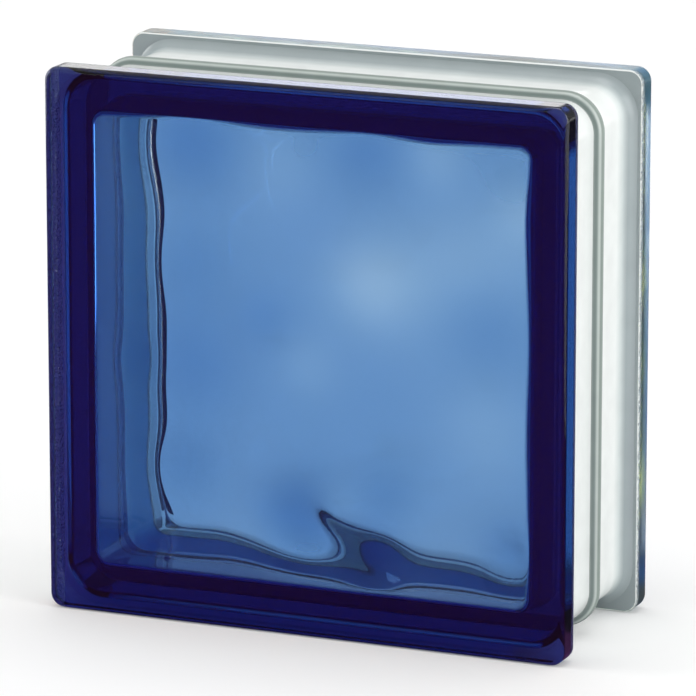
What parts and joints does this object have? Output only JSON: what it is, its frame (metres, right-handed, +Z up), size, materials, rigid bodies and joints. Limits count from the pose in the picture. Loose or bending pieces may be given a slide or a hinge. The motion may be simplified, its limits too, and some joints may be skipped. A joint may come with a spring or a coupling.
{
  "type": "glass block",
  "caption": "Square hollow glass block with a blue face, a clear back, rippled inner faces and lipped edges with a mortar groove, for building into walls.",
  "frame": {"origin": "middle of the underside, on the floor that the block stands on", "axes": "+X to the right as seen from the blue face, +Y from the blue face to the clear face, +Z up"},
  "size_m": [0.19, 0.08, 0.19],
  "materials": {
    "blue_glass": "pressed glass, cobalt blue, smooth",
    "clear_glass": "pressed glass, clear with a faint green, smooth"
  },
  "bodies": {
    "root": {"front_half": "blue_glass", "back_half": "clear_glass"}
  },
  "joints": []
}
